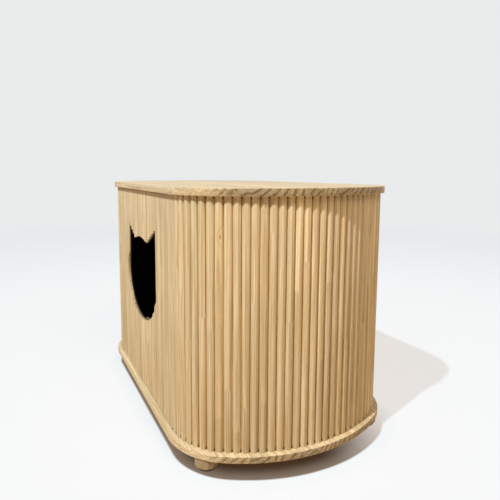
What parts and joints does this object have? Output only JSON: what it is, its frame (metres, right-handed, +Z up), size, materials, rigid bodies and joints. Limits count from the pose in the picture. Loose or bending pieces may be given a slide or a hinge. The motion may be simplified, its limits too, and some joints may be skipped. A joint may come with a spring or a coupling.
{
  "type": "cat litter box cabinet",
  "caption": "Long round-ended wooden cabinet on short feet, skinned in vertical half-round reeds, with two pivoting front leaves and a cat's-head opening, that hides a litter tray.",
  "frame": {"origin": "floor level, under the centre of the plan", "axes": "+X along the length to the right end seen from the front, -Y out of the front with the doors, +Z up"},
  "size_m": [0.9098, 0.534, 0.58],
  "materials": {
    "pine_board": "clear matt oil on edge-glued pine",
    "pine_reed": "clear matt oil on half-round pine",
    "turned_pine": "clear matt oil on turned pine",
    "thin_plywood": "bending plywood, dark stained and faced with film inside",
    "frame_pine": "planed pine",
    "dowel_beech": "fluted beech dowel",
    "felt_pad": "dense dark felt",
    "plated_steel": "zinc plated",
    "screw_steel": "yellow zinc plated",
    "insert_brass": "plain brass",
    "nylon": "natural nylon",
    "catch_plastic": "off-white plastic"
  },
  "bodies": {
    "cabinet": {"back_left_foot": "turned_pine", "back_left_foot_pad": "felt_pad", "back_left_post": "frame_pine", "back_panel": "thin_plywood", "back_reeds": "pine_reed", "back_right_foot": "turned_pine", "back_right_foot_pad": "felt_pad", "back_right_post": "frame_pine", "base_back_cleat": "frame_pine", "base_board": "pine_board", "catch_screws": "screw_steel", "cleat_screws": "screw_steel", "door_stop_rail": "frame_pine", "foot_inserts": "insert_brass", "foot_studs": "plated_steel", "former_screws": "screw_steel", "front_left_foot": "turned_pine", "front_left_foot_pad": "felt_pad", "front_left_post": "frame_pine", "front_right_foot": "turned_pine", "front_right_foot_pad": "felt_pad", "front_right_post": "frame_pine", "left_base_bush": "nylon", "left_base_former": "frame_pine", "left_catch": "catch_plastic", "left_end_reeds": "pine_reed", "left_end_shell": "thin_plywood", "left_top_bush": "nylon", "left_top_former": "frame_pine", "post_dowels": "dowel_beech", "rail_screws": "screw_steel", "right_base_bush": "nylon", "right_base_former": "frame_pine", "right_catch": "catch_plastic", "right_end_reeds": "pine_reed", "right_end_shell": "thin_plywood", "right_top_bush": "nylon", "right_top_former": "frame_pine", "top_back_cleat": "frame_pine", "top_board": "pine_board"},
    "right_door": {"right_door_base_pivot": "plated_steel", "right_door_hinge_stile": "frame_pine", "right_door_meeting_battens": "frame_pine", "right_door_panel": "thin_plywood", "right_door_pivot_screws": "screw_steel", "right_door_reeds": "pine_reed", "right_door_strike": "plated_steel", "right_door_top_pivot": "plated_steel"},
    "left_door": {"left_door_base_pivot": "plated_steel", "left_door_hinge_stile": "frame_pine", "left_door_meeting_battens": "frame_pine", "left_door_panel": "thin_plywood", "left_door_pivot_screws": "screw_steel", "left_door_reeds": "pine_reed", "left_door_strike": "plated_steel", "left_door_top_pivot": "plated_steel"}
  },
  "joints": [
    {"name": "right_door_hinge", "type": "hinge", "parent": "cabinet", "child": "right_door", "pos_m": [0.2589, -0.25, 0.3045], "axis": [0, 0, 1], "range_deg": [0, 105]},
    {"name": "left_door_hinge", "type": "hinge", "parent": "cabinet", "child": "left_door", "pos_m": [-0.2589, -0.25, 0.3045], "axis": [0, 0, -1], "range_deg": [0, 105]}
  ]
}
